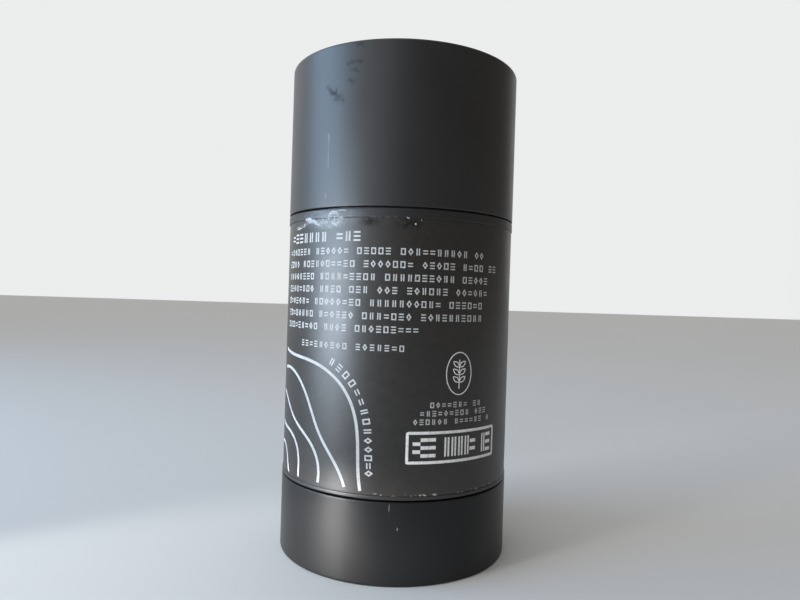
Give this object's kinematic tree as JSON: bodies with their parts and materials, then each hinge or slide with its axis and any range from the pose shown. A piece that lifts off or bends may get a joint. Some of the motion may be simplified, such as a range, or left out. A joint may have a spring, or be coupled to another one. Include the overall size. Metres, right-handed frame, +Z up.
{
  "type": "twist-up deodorant stick",
  "caption": "Round closed twist-up deodorant stick with a pull-off cap, a labelled barrel and a base that turns a screw to raise a keyed carrier.",
  "frame": {"origin": "centre of the circle that the closed stick stands on", "axes": "+Z up along the stick towards the cap, -Y towards the printed face that the picture shows, +X to that face's right"},
  "size_m": [0.05, 0.05, 0.1041],
  "materials": {
    "cap_plastic": "satin black moulding with a soft sheen and a few scuffs",
    "barrel_plastic": "satin black moulding",
    "label_film": null,
    "base_plastic": "smooth satin black moulding with fine scratches",
    "screw_plastic": "natural white moulding",
    "carrier_plastic": "natural white moulding",
    "deodorant_wax": "dull waxy solid, smooth and slightly translucent"
  },
  "bodies": {
    "barrel": {"barrel": "barrel_plastic", "label": "label_film"},
    "cap": {"cap": "cap_plastic"},
    "base": {"turn_base": "base_plastic", "spindle": "screw_plastic"},
    "lift": {"carrier": "carrier_plastic", "deodorant": "deodorant_wax"}
  },
  "joints": [
    {"name": "cap_lift", "type": "slide", "parent": "barrel", "child": "cap", "axis": [0, 0, 1], "range_m": [0, 0.04]},
    {"name": "base_turn", "type": "hinge", "parent": "barrel", "child": "base", "pos_m": [0, 0, 0], "axis": [0, 0, 1], "range_deg": [-1972, 496]},
    {"name": "carrier_lift", "type": "slide", "parent": "barrel", "child": "lift", "axis": [0, 0, 1], "range_m": [-0.0438, 0.011]}
  ],
  "couplings": [
    {"joint": "base_turn", "follows": "carrier_lift", "rad_per_m": 785.4}
  ]
}
